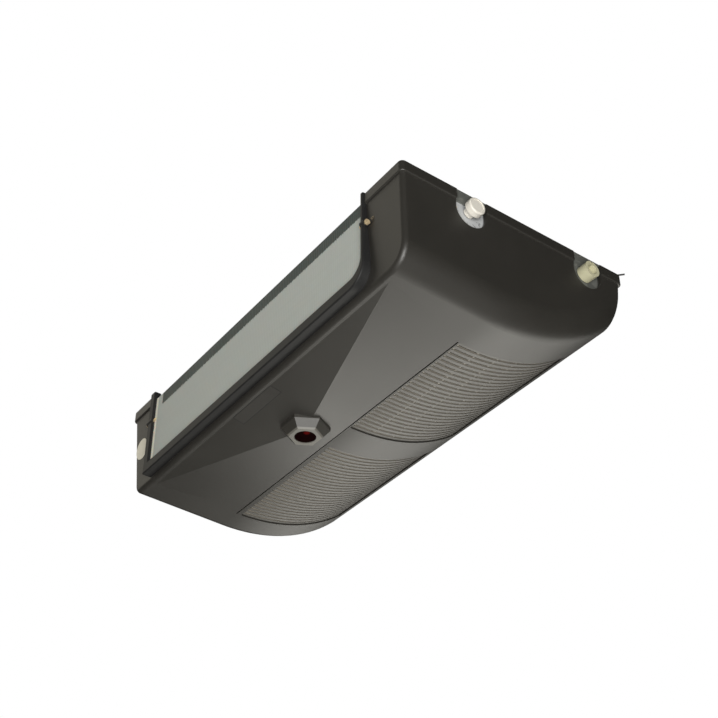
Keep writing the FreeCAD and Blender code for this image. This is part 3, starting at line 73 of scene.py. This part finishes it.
class Finish:
    def __init__(self, name):
        self.material = bpy.data.materials.new(name)
        self.material.use_nodes = True
        self.tree = self.material.node_tree
        self.shader = next(n for n in self.tree.nodes if n.type == "BSDF_PRINCIPLED")
        self.place = self.node("ShaderNodeTexCoord", {}, {}, "Object")

    def node(self, kind, settings, values, output=0):
        # one node of any type: its settings first, then a value or a link for each socket
        made = self.tree.nodes.new(kind)
        for key, value in settings.items():
            setattr(made, key, value)
        for key, value in values.items():
            self.feed(made.inputs[key], value)
        return Field(self, made.outputs[output])

    def feed(self, socket, value):
        if isinstance(value, Field):
            self.tree.links.new(value.socket, socket)
        elif isinstance(value, tuple) and len(value) == 3 and socket.type == "RGBA":
            socket.default_value = (*value, 1.0)
        else:
            socket.default_value = value

    def noise(self, scale, detail=3.0, rough=0.55, stretch=None):
        vector = self.place
        if stretch:
            vector = self.node("ShaderNodeMapping", {}, {"Vector": self.place, "Scale": stretch})
        return self.node("ShaderNodeTexNoise", {},
                         {"Vector": vector, "Scale": scale, "Detail": detail, "Roughness": rough})

    def axis(self, name):
        return self.node("ShaderNodeSeparateXYZ", {}, {0: self.place}, name)

    def tint(self, factor, low, high):
        # colour between two colours
        mixed = self.tree.nodes.new("ShaderNodeMix")
        mixed.data_type = "RGBA"
        self.feed(mixed.inputs[0], factor)
        self.feed(mixed.inputs[6], low)
        self.feed(mixed.inputs[7], high)
        return Field(self, mixed.outputs[2])

    def bump(self, height, depth, strength=1.0):
        return self.node("ShaderNodeBump", {}, {"Height": height, "Distance": depth, "Strength": strength})

    def set(self, **values):
        for key, value in values.items():
            self.feed(self.shader.inputs[key.replace("_", " ")], value)
        return self


def wear(name, kind):
    # plain part finishes: a colour varied by broad and fine noise, roughness and bump from the same noise
    finish = Finish(name)
    broad = finish.noise(kind.get("broad", 28.0), 4.0)
    fine = finish.noise(kind.get("fine", 1400.0), 2.0, 0.6)
    low = kind["colour"]
    high = kind.get("second", tuple(c * 1.25 + 0.004 for c in low))
    mixed = finish.tint((broad * 0.7 + fine * 0.3).above(0.5, 0.3), low, high)
    rough = broad * kind.get("patchy", 0.12) + fine * kind.get("grainy", 0.06) + (kind["rough"] - 0.09)
    finish.set(Base_Color=mixed, Roughness=rough, Metallic=kind.get("metal", 0.0))
    finish.set(Normal=finish.bump(fine, kind.get("depth", 0.00004), kind.get("strength", 0.35)))
    finish.set(Specular_IOR_Level=kind.get("gloss", 0.5))
    return finish


print("finishes")
plain = {
    "framePlastic": {"colour": (0.012, 0.012, 0.012), "rough": 0.5, "depth": 0.00003, "gloss": 0.22},
    "brassScrew": {"colour": (0.72, 0.56, 0.34), "rough": 0.35, "metal": 0.6},
    "machinedSteel": {"colour": (0.42, 0.42, 0.43), "rough": 0.32, "metal": 1.0},
    "zincScrew": {"colour": (0.5, 0.5, 0.49), "rough": 0.35, "metal": 1.0},
    "whiteKnob": {"colour": (0.62, 0.59, 0.53), "second": (0.68, 0.65, 0.59), "rough": 0.38, "depth": 0.00002},
    "creamKnob": {"colour": (0.44, 0.42, 0.28), "second": (0.5, 0.48, 0.34), "rough": 0.42, "depth": 0.00002},
    "turnedSpindle": {"colour": (0.6, 0.6, 0.6), "rough": 0.3, "metal": 1.0},
    "controlBody": {"colour": (0.03, 0.05, 0.12), "rough": 0.5},
    "solderMask": {"colour": (0.012, 0.1, 0.035), "second": (0.02, 0.14, 0.05), "rough": 0.35, "broad": 90.0},
    "nylonSpacer": {"colour": (0.7, 0.7, 0.64), "rough": 0.45},
    "relayCase": {"colour": (0.01, 0.02, 0.09), "rough": 0.3},
    "chipBody": {"colour": (0.012, 0.012, 0.012), "rough": 0.55},
    "terminalGreen": {"colour": (0.02, 0.14, 0.04), "rough": 0.4},
    "castCase": {"colour": (0.3, 0.3, 0.31), "rough": 0.55, "metal": 0.85, "depth": 0.00015, "fine": 700.0},
    "wheelNylon": {"colour": (0.62, 0.58, 0.45), "rough": 0.5},
    "sinteredBronze": {"colour": (0.4, 0.24, 0.1), "rough": 0.5, "metal": 1.0},
    "motorPaint": {"colour": (0.02, 0.02, 0.022), "rough": 0.35},
    "lamination": {"colour": (0.12, 0.12, 0.13), "rough": 0.5, "metal": 0.7},
    "varnishedCopper": {"colour": (0.45, 0.16, 0.06), "rough": 0.35, "metal": 0.8},
    "encoderPlastic": {"colour": (0.015, 0.015, 0.015), "rough": 0.5},
    "capacitorCan": {"colour": (0.5, 0.51, 0.53), "rough": 0.4},
    "whiteEnamel": {"colour": (0.74, 0.74, 0.71), "rough": 0.3},
    "holderPlastic": {"colour": (0.62, 0.61, 0.56), "rough": 0.4},
    "rolledCap": {"colour": (0.55, 0.55, 0.52), "rough": 0.35, "metal": 1.0},
    "blackRubber": {"colour": (0.012, 0.012, 0.012), "rough": 0.6},
    "amberKey": {"colour": (0.5, 0.3, 0.03), "rough": 0.35},
    "dialPaper": {"colour": (0.4, 0.41, 0.42), "second": (0.48, 0.49, 0.49), "rough": 0.45, "fine": 2200.0},
    "printInk": {"colour": (0.05, 0.05, 0.055), "rough": 0.5},
    "labelFilm": {"colour": (0.021, 0.0195, 0.017), "rough": 0.5},
    "labelEdge": {"colour": (0.006, 0.006, 0.006), "rough": 0.6},
    "stickerPaper": {"colour": (0.72, 0.68, 0.56), "second": (0.8, 0.77, 0.66), "rough": 0.5, "fine": 900.0},
}
finishes = {name: wear(name, kind) for name, kind in plain.items()}


def coverFinish(name, colour, paleFace=None, gapLightPaint=None):
    # warm dark grey moulding with a spark-eroded grain, faint handling marks and dust
    finish = Finish(name)
    grain = finish.noise(2600.0, 2.0, 0.7)
    mottle = finish.noise(9.0, 4.0, 0.6)
    dust = finish.noise(420.0, 3.0, 0.75).above(0.68, 0.05)
    low = tuple(c * 0.9 for c in colour)
    high = tuple(c * 1.12 for c in colour)
    body = finish.tint(mottle.above(0.5, 0.25), low, high)
    # everything below the given height, the bezel's outer face, takes a paler colour
    if paleFace:
        body = finish.tint(1.0 - finish.axis("Z").above(paleFace["edge"], 0.0002), body, paleFace["colour"])
    if gapLightPaint:
        # painted light in the gaps: everything nearer the curve's axis than the louvre faces is paler, lifting the
        # shade there
        across = (finish.axis("Y") - gapLightPaint["axis"][0]).calc("POWER", 2.0)
        upwards = (finish.axis("Z") - gapLightPaint["axis"][1]).calc("POWER", 2.0)
        faces = (across + upwards).calc("SQRT").above(gapLightPaint["radius"], 0.00025)
        body = finish.tint(faces, gapLightPaint["colour"], body)
    finish.set(Base_Color=finish.tint(dust * 0.25, body, tuple(c * 2.2 for c in colour)))
    finish.set(Roughness=mottle * 0.1 + grain * 0.08 + 0.36)
    finish.set(Normal=finish.bump(grain, 0.00005, 0.35))
    return finish


def zincFinish(name):
    # galvanised sheet: large faint spangles and fine rolling marks
    finish = Finish(name)
    spangle = finish.node("ShaderNodeTexVoronoi", {"feature": "F1"}, {"Vector": finish.place, "Scale": 90.0}, "Color")
    level = finish.node("ShaderNodeSeparateColor", {}, {0: spangle}, 0)
    rolled = finish.noise(60.0, 3.0, 0.6, (40.0, 1.0, 1.0))
    finish.set(Base_Color=finish.tint(level * 0.6 + rolled * 0.4, (0.13, 0.135, 0.125), (0.24, 0.245, 0.225)))
    finish.set(Metallic=0.45, Roughness=level * 0.18 + rolled * 0.12 + 0.26)
    finish.set(Normal=finish.bump(rolled, 0.00004, 0.3))
    return finish


def lensFinish(name, look):
    # ribbed translucent moulding with painted light: its pale body is the milky tone with the white reflector behind it
    # painted in, rib crests are painted lighter, an upper band paler, and the sheet flange behind it shows through
    # along the top
    finish = Finish(name)
    x = finish.axis("X")
    z = finish.axis("Z")
    broad = finish.noise(30.0, 4.0)
    fine = finish.noise(1500.0, 2.0)
    rib = (x * (2.0 * math.pi / look["ribPitch"])).calc("SINE") * 0.5 + 0.5
    streak = finish.noise(260.0, 3.0, 0.6, (0.02, 1.0, 1.0))
    # painted light and shade of the ribs: crests lighter, valleys darker
    body = finish.tint(rib * 0.45 + streak * 0.45 + broad * 0.1, look["valley"], look["crest"])
    ragged = (finish.noise(900.0, 1.0, 0.5, (1.0, 0.0, 0.0)) - 0.5) * look["ragged"]
    behind = (z + ragged).above(look["stripLow"], 0.0004) * (1.0 - x.above(look["stripEnd"], 0.0005))
    # painted glow: the lens above glowLow is lifted towards the crest colour
    body = finish.tint(z.above(look["glowLow"], 0.02) * 0.35, body, look["crest"])
    body = finish.tint(x.above(look["creamStart"], 0.0004), body, look["cream"])
    body = finish.tint(behind, body, look["strip"])
    finish.set(Base_Color=body, Roughness=rib * 0.1 + broad * 0.1 + 0.4)
    finish.set(Specular_IOR_Level=0.3)
    finish.set(Normal=finish.bump(rib * 0.8 + fine * 0.2, 0.00025, 0.55))
    finish.set(Subsurface_Weight=0.15, Subsurface_Scale=0.002)
    return finish


def windowFinish(name, look):
    # dark red filter with a painted red glint: a small spot given a faint glow
    finish = Finish(name)
    smear = finish.noise(160.0, 3.0)
    along = (finish.axis("X") - look["spot"][0]).calc("POWER", 2.0)
    across = (finish.axis("Y") - look["spot"][1]).calc("POWER", 2.0)
    # painted glint: a small round red spot that glows faintly
    glintSpot = 1.0 - (along + across).calc("SQRT").above(look["spotRadius"], look["spotRadius"] * 0.5)
    finish.set(Base_Color=finish.tint(smear, (0.003, 0.0008, 0.0008), (0.008, 0.002, 0.002)))
    finish.set(Emission_Color=finish.tint(glintSpot, (0.0, 0.0, 0.0), (0.3, 0.01, 0.008)), Emission_Strength=0.25)
    finish.set(Roughness=smear * 0.12 + 0.05, Normal=finish.bump(smear, 0.00002, 0.2), Specular_IOR_Level=0.1, IOR=1.03)
    return finish


finishes["coverPlastic"] = coverFinish("coverPlastic", (0.024, 0.0225, 0.0195))
# painted light: the louvres get a lighter copy of the cover plastic for light catching on the ribs, with painted paler
# gaps
finishes["louvreLitPlastic"] = coverFinish("louvreLitPlastic", (0.06, 0.056, 0.049), gapLightPaint={
    "axis": (0.009442, 0.083624), "radius": 0.16605, "colour": (0.24, 0.22, 0.185)})
finishes["ringPlastic"] = coverFinish("ringPlastic", (0.03, 0.028, 0.024), paleFace={
    "edge": -0.0957, "colour": (0.12, 0.115, 0.1)})
finishes["zincSheet"] = zincFinish("zincSheet")
finishes["ribbedLens"] = lensFinish("ribbedLens", {
    "ribPitch": 0.0024, "valley": (0.38, 0.41, 0.385), "crest": (0.47, 0.5, 0.475), "strip": (0.035, 0.05, 0.048),
    "stripLow": -0.0125, "stripEnd": 0.1465, "ragged": 0.006, "glowLow": -0.03, "creamStart": 0.154,
    "cream": (0.85, 0.82, 0.7)})
finishes["windowFilter"] = windowFinish("windowFilter", {"spot": (0.004, 0.05), "spotRadius": 0.0022})

wearsFinish = {
    "cover": "coverPlastic", "near_grille": "louvreLitPlastic", "far_grille": "louvreLitPlastic", "hex_bezel": "ringPlastic",
    "lens_frame": "framePlastic", "indicator_window": "windowFilter", "lens_screws": "brassScrew",
    "chassis": "zincSheet", "rail_seat": "zincSheet", "motor_strap": "zincSheet", "capacitor_clip": "zincSheet",
    "cover_screws": "zincScrew",
    "lid_screws": "zincScrew", "dial_plate": "dialPaper", "force_knob": "whiteKnob", "limit_knob": "creamKnob",
    "force_spindle": "turnedSpindle", "limit_spindle": "turnedSpindle", "force_control": "controlBody",
    "limit_control": "controlBody", "control_board": "solderMask", "board_spacers": "nylonSpacer",
    "relays": "relayCase", "board_parts": "chipBody", "terminal_block": "terminalGreen", "sensor": "chipBody",
    "gear_case": "castCase", "gear_lid": "castCase", "front_bell": "castCase", "rear_bell": "castCase",
    "worm_wheel": "wheelNylon", "worm": "machinedSteel", "worm_bearings": "machinedSteel",
    "output_shaft": "machinedSteel", "shaft_bushes": "sinteredBronze", "sprocket": "machinedSteel",
    "sprocket_clip": "machinedSteel", "motor_can": "motorPaint", "stator": "lamination", "rotor": "varnishedCopper",
    "rotor_shaft": "machinedSteel", "motor_bearings": "machinedSteel", "encoder_disc": "encoderPlastic",
    "transformer_core": "lamination", "transformer_coil": "varnishedCopper", "capacitor": "capacitorCan",
    "reflector": "whiteEnamel", "lamp_holders": "holderPlastic", "bulb_caps": "rolledCap", "bulbs": "whiteEnamel",
    "cord_gland": "blackRubber", "learn_button": "amberKey", "button_switch": "chipBody",
    "antenna_wire": "blackRubber", "antenna_grommet": "blackRubber", "light_lens": "ribbedLens",
}


def dress(piece, finishName):
    piece.data.materials.clear()
    piece.data.materials.append(finishes[finishName].material)


for nodeName, finishName in wearsFinish.items():
    dress(nodes[nodeName], finishName)
print("nodes dressed")


# floor, light and camera
stage = {"floorDrop": 1.3, "floorHalf": 6.0, "camera": (-0.713365, 0.52042, -0.66515),
         "yaw": -36.0143, "pitch": 36.8325, "lens": 65.181058496, "sensor": 36.0, "farClip": 50.0}


def meshPiece(name, points, faces, finishName, smooth=True):
    mesh = bpy.data.meshes.new(name)
    mesh.from_pydata(np.asarray(points).tolist(), [], faces)
    mesh.update()
    if smooth:
        mesh.shade_smooth()
    piece = bpy.data.objects.new(name, mesh)
    bpy.context.scene.collection.objects.link(piece)
    dress(piece, finishName)
    return piece


# sticker on the lamp-side wall: a thin disc that lies on the drafted wall, y falls with depth
sticker = {"centre": (0.1834, -0.039), "wallY": 0.106053, "lean": 0.069927, "radius": 0.0098, "thick": 0.0002,
           "rings": 12, "steps": 72}


def discPiece(name, look, finishName):
    # rings of radius r and angle t: x = cx + r cos t, z = cz + r sin t, y on the wall plane; front, then back
    r = np.linspace(0.0, look["radius"], look["rings"])[1:]
    t = np.linspace(0.0, 2.0 * np.pi, look["steps"], endpoint=False)
    rr, tt = np.meshgrid(r, t, indexing="ij")
    x = np.concatenate(([look["centre"][0]], (look["centre"][0] + rr * np.cos(tt)).ravel()))
    z = np.concatenate(([look["centre"][1]], (look["centre"][1] + rr * np.sin(tt)).ravel()))
    y = look["wallY"] + (z - look["centre"][1]) * look["lean"]
    front = np.stack((x, y + look["thick"], z), 1)
    back = np.stack((x, y, z), 1)
    count = len(x)
    n = look["steps"]
    i = np.arange(n)
    after = (i + 1) % n
    ring = 1 + np.arange(len(r) - 1)[:, None] * n
    fan = np.stack((0 * i, 1 + after, 1 + i), 1)
    bands = np.stack((ring + n + i, ring + n + after, ring + after, ring + i), 2).reshape(-1, 4)
    last = 1 + (len(r) - 1) * n
    edge = np.stack((last + i, last + after, count + last + after, count + last + i), 1)
    faces = fan.tolist() + bands.tolist() + (fan[:, ::-1] + count).tolist() + (bands[:, ::-1] + count).tolist()
    return meshPiece(name, np.concatenate((front, back)), faces + edge.tolist(), finishName, False)


def slabs(name, quads, depth, finishName):
    # each quad's four corners, then the same four moved by depth: eight points and six faces for each closed box
    corners = np.asarray(quads, dtype=float)
    points = np.concatenate((corners, corners + np.asarray(depth)), 1).reshape(-1, 3)
    sides = [(i, 4 + i, 4 + (i + 1) % 4, (i + 1) % 4) for i in range(4)]
    box = np.array([(0, 1, 2, 3), (7, 6, 5, 4)] + sides)
    faces = (box + 8 * np.arange(len(corners))[:, None, None]).reshape(-1, 4).tolist()
    piece = meshPiece(name, points, faces, finishName, False)
    fixNormals(piece)
    return piece


def fixNormals(piece):
    solid = bmesh.new()
    solid.from_mesh(piece.data)
    bmesh.ops.recalc_face_normals(solid, faces=solid.faces)
    solid.to_mesh(piece.data)
    solid.free()


stickerDisc = discPiece("wallSticker", sticker, "stickerPaper")
fixNormals(stickerDisc)
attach(stickerDisc, "head")


# rating label on the triangular facet: a thin film with a darker edge, on the facet's plane
label = {"x": (-0.014, 0.040), "y": (0.0868, 0.0965), "facetY": 0.097, "facetZ": -0.0806105, "slope": 0.19162,
         "thick": 0.00012, "edge": 0.0005, "edgeThick": 0.00014}


def facetZ(y):
    return label["facetZ"] - label["slope"] * (label["facetY"] - y)


def facetQuad(x0, x1, y0, y1, lift):
    return [(x, y, facetZ(y) - lift) for x, y in ((x0, y0), (x1, y0), (x1, y1), (x0, y1))]


x0, x1 = label["x"]
y0, y1 = label["y"]
edge = label["edge"]
lift = label["edgeThick"]
film = slabs("ratingLabel", [facetQuad(x0, x1, y0, y1, label["thick"])], (0, 0, label["thick"]), "labelFilm")
strips = [(x0 - edge, x1 + edge, y0 - edge, y0), (x0 - edge, x1 + edge, y1, y1 + edge),
          (x0 - edge, x0, y0, y1), (x1, x1 + edge, y0, y1)]
rim = slabs("labelRim", [facetQuad(*strip, lift) for strip in strips], (0, 0, lift), "labelEdge")
for piece in (film, rim):
    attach(piece, "head")


# printed scale behind the force knob: radial ticks and seven-stroke numerals on the plate
scale = {"x": -0.1941015, "y": 0.0445, "z": -0.0085, "inner": 0.0087, "outer": 0.0098, "number": 0.0117,
         "first": 165.0, "last": 350.0, "count": 6, "stroke": 0.00042, "height": 0.0026, "width": 0.0014,
         "thick": 0.00004}
strokes = {1: "bc", 2: "abged", 3: "abgcd", 4: "fgbc", 5: "afgcd", 6: "afgedc"}


def scaleQuad(centre, turn, x0, x1, y0, y1):
    # rectangle turned about the knob's axis: u runs across the radius, v along it from the axis
    c, w = math.cos(turn), math.sin(turn)
    corners = ((x0, y0), (x1, y0), (x1, y1), (x0, y1))
    return [(scale["x"], centre[0] + u * w + v * c, centre[1] - u * c + v * w) for u, v in corners]


def numeral(digit, centre):
    h, w, k = scale["height"] / 2, scale["width"] / 2, scale["stroke"] / 2
    bars = {"a": (-w, w, h - k, h + k), "g": (-w, w, -k, k), "d": (-w, w, -h - k, -h + k),
            "f": (w - k, w + k, 0, h), "b": (-w - k, -w + k, 0, h),
            "e": (w - k, w + k, -h, 0), "c": (-w - k, -w + k, -h, 0)}
    return [[(scale["x"], centre[0] + u, centre[1] + v) for u, v in
             ((bars[b][0], bars[b][2]), (bars[b][1], bars[b][2]), (bars[b][1], bars[b][3]), (bars[b][0], bars[b][3]))]
            for b in strokes[digit]]


marks = []
for i in range(scale["count"]):
    turn = math.radians(scale["first"] + (scale["last"] - scale["first"]) * i / (scale["count"] - 1))
    centre = (scale["y"], scale["z"])
    marks.append(scaleQuad(centre, turn, -scale["stroke"] / 2, scale["stroke"] / 2, scale["inner"], scale["outer"]))
    at = (scale["y"] + scale["number"] * math.cos(turn), scale["z"] + scale["number"] * math.sin(turn))
    marks += numeral(i + 1, at)
ink = slabs("dialInk", marks, (-scale["thick"], 0, 0), "printInk")
studMark = {"across": 0.0112, "above": 0.0012, "half": 0.0007, "proud": 0.0006}
half = studMark["half"]
studCorners = [(scale["x"], scale["y"] + studMark["across"] + u, scale["z"] + studMark["above"] + v)
               for u, v in ((-half, -half), (half, -half), (half, half), (-half, half))]
stud = slabs("dialStud", [studCorners], (-studMark["proud"], 0, 0), "brassScrew")
for piece in (ink, stud):
    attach(piece, "head")
print("labels and print added")


# floor
finishes["paleFloor"] = wear("paleFloor", {"colour": (0.78, 0.78, 0.78), "second": (0.82, 0.82, 0.82), "rough": 0.7,
                                           "fine": 60.0, "broad": 1.5})
reach = stage["floorHalf"]
level = -stage["floorDrop"]
floorCorners = [(-reach, -reach, level), (reach, -reach, level), (reach, reach, level), (-reach, reach, level)]
floor = meshPiece("floor", floorCorners, [(0, 1, 2, 3)], "paleFloor", False)

camera = bpy.data.objects.new("camera", bpy.data.cameras.new("camera"))
bpy.context.scene.collection.objects.link(camera)
yaw = math.radians(stage["yaw"])
pitch = math.radians(stage["pitch"])
ahead = Vector((math.cos(pitch) * math.cos(yaw), math.cos(pitch) * math.sin(yaw), math.sin(pitch)))
right = ahead.cross(Vector((0, 0, 1))).normalized()
upward = right.cross(ahead)
turn = Matrix((right, upward, -ahead)).transposed()
camera.matrix_world = Matrix.Translation(Vector(stage["camera"])) @ turn.to_4x4()
camera.data.sensor_width = stage["sensor"]
camera.data.lens = stage["lens"]
camera.data.clip_end = stage["farClip"]
bpy.context.scene.camera = camera


def softbox(name, towards, distance, size, power, colour):
    light = bpy.data.lights.new(name, "AREA")
    light.shape = "RECTANGLE"
    light.size = size[0]
    light.size_y = size[1]
    light.energy = power
    light.color = colour
    lamp = bpy.data.objects.new(name, light)
    way = Vector(towards).normalized()
    lamp.location = way * distance + Vector((0, 0, -0.04))
    lamp.rotation_euler = (-way).to_track_quat("-Z", "Y").to_euler()
    lamp.visible_camera = False
    bpy.context.scene.collection.objects.link(lamp)
    return lamp


# each light: where it stands from the object, how far off, its size, its power and its colour
lights = {
    "keyLight": {"towards": (0.5, -0.78, -0.38), "distance": 1.4, "size": (1.2, 1.3), "power": 9.0,
                 "colour": (1.0, 0.98, 0.91)},
    "floorSheen": {"towards": (0.5, -0.6, -0.62), "distance": 1.6, "size": (0.7, 0.6), "power": 5.6,
                   "colour": (1.0, 0.98, 0.91)},
    "wallSheen": {"towards": (0.65, 0.47, 0.6), "distance": 1.4, "size": (1.4, 1.4), "power": 5.5,
                  "colour": (1.0, 0.95, 0.82)},
    "cameraFill": {"towards": (-0.7, 0.45, -0.5), "distance": 1.7, "size": (0.9, 0.9), "power": 38.0,
                   "colour": (1.0, 0.99, 0.96)},
}
for lightName, light in lights.items():
    softbox(lightName, **light)

world = bpy.data.worlds.new("paleRoom")
world.use_nodes = True
world.node_tree.nodes["Background"].inputs[0].default_value = (1.0, 1.0, 1.0, 1.0)
world.node_tree.nodes["Background"].inputs[1].default_value = 1.0
world.cycles_visibility.diffuse = False
world.cycles_visibility.glossy = False
bpy.context.scene.world = world
bpy.context.scene.view_settings.view_transform = "Standard"
print("stage set")
